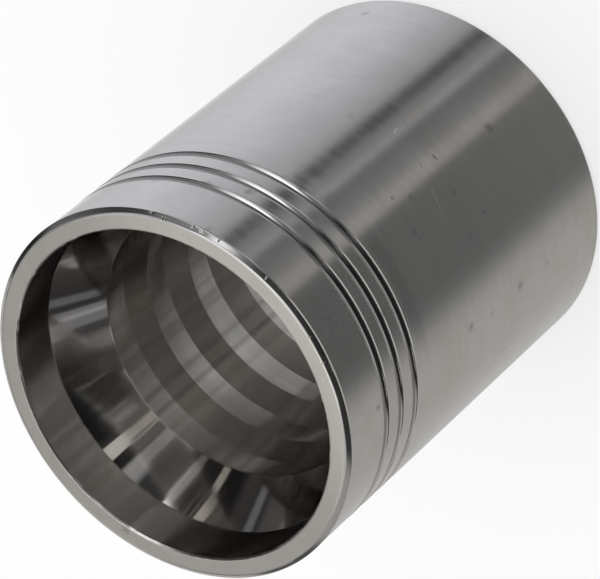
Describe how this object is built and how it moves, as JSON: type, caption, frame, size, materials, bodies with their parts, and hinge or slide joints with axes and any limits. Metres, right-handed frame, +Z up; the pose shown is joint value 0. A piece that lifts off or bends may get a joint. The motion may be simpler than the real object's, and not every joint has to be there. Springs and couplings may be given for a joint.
{
  "type": "crimp hose ferrule",
  "caption": "Turned steel sleeve that a press closes around a hydraulic hose and its stem, with internal gripping rings and shallow outer grooves near the mouth.",
  "frame": {"origin": "centre of the collar end's flat foot, on which the sleeve stands", "axes": "+Z up along the sleeve's axis, from the collar end to the mouth that takes the hose; X and Y are any two directions across it"},
  "size_m": [0.028, 0.028, 0.0343],
  "materials": {
    "turned_steel": "satin turned steel with fine tool marks around the axis"
  },
  "bodies": {
    "root": {"ferrule": "turned_steel"}
  },
  "joints": []
}
